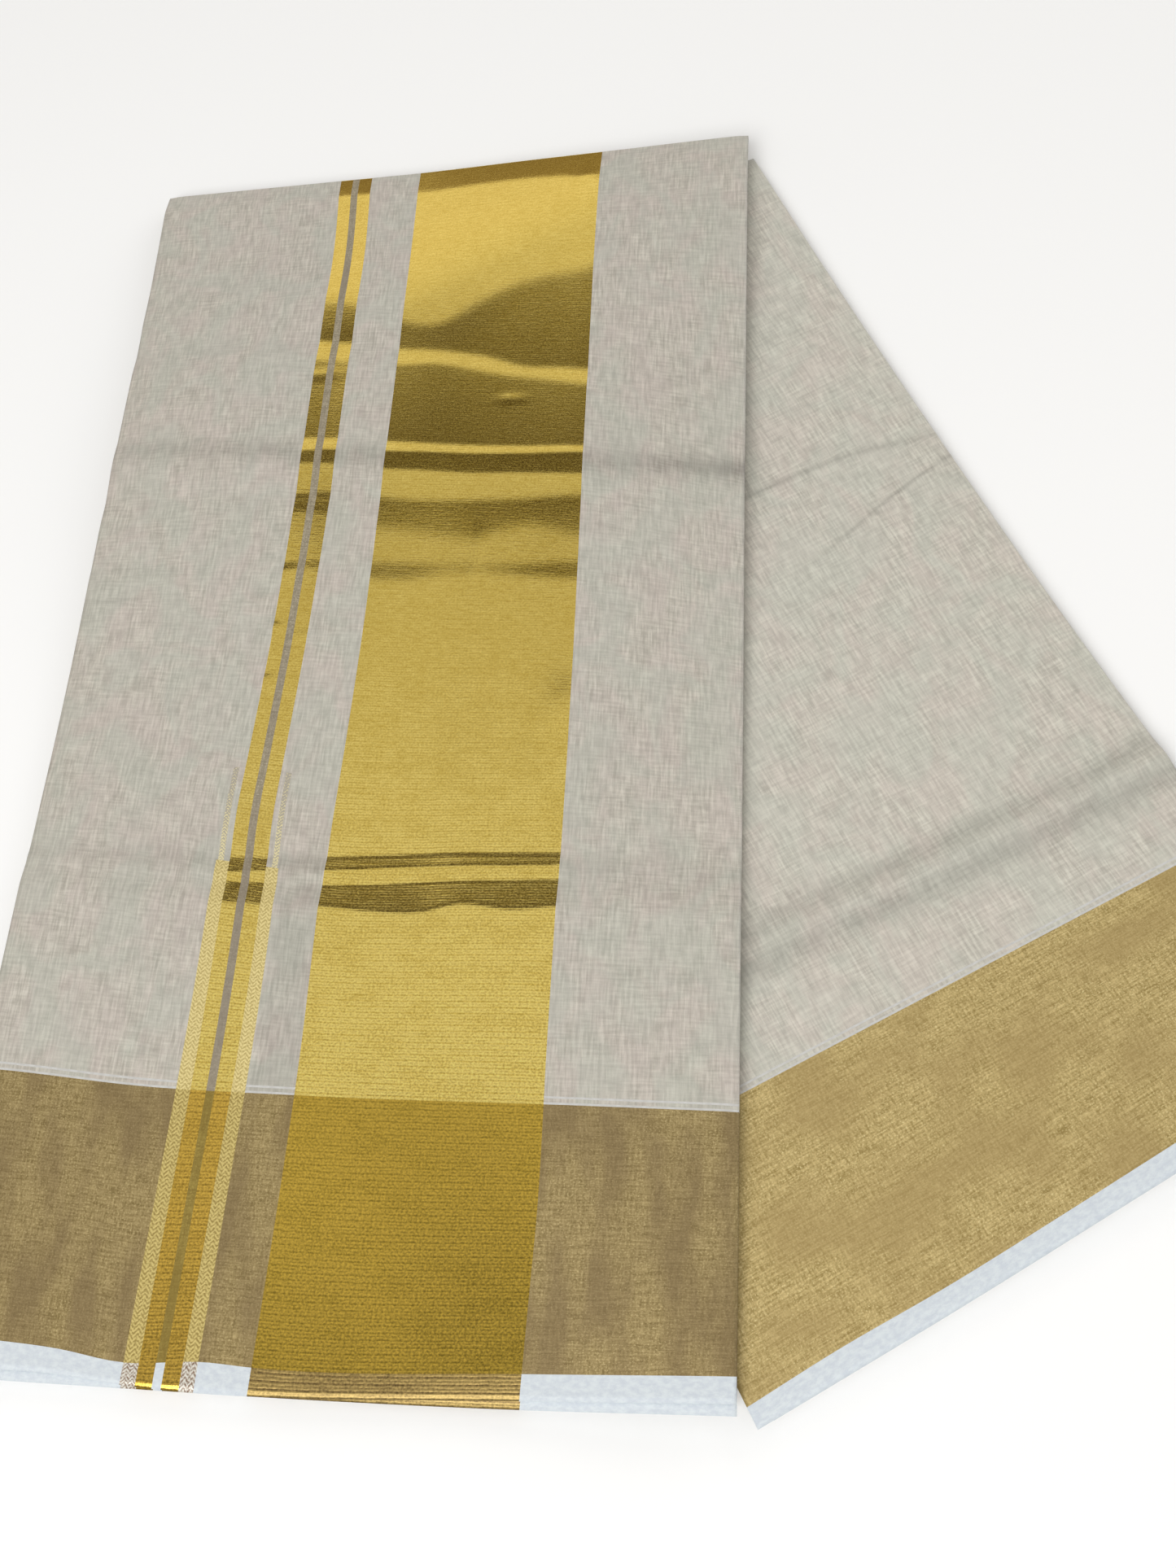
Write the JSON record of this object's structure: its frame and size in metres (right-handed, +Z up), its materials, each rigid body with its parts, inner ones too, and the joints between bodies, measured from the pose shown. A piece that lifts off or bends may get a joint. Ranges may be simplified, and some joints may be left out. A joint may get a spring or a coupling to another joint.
{
  "type": "folded kasavu saree",
  "caption": "Long woven tissue cloth folded into a flat stack, its gold-striped end panel on top and the panels below it turned out like a fan to show the woven border.",
  "frame": {"origin": "on the surface that the folded saree rests on, under the middle of the whole", "axes": "+Z up out of the surface; +Y across the saree's width, from the selvedges to the fold at the top; +X along the saree's length, towards the fanned panels"},
  "size_m": [0.5246, 0.5816, 0.0135],
  "materials": {
    "tissue_cloth": "sheer cotton tissue with metallic gold stripes and border, soft sheen",
    "folded_layers": "the same cotton tissue, folded edges"
  },
  "bodies": {
    "root": {"pallu_stretch": "tissue_cloth", "pallu_folds": "folded_layers", "fan_stretch": "tissue_cloth", "fan_folds": "folded_layers"}
  },
  "joints": []
}
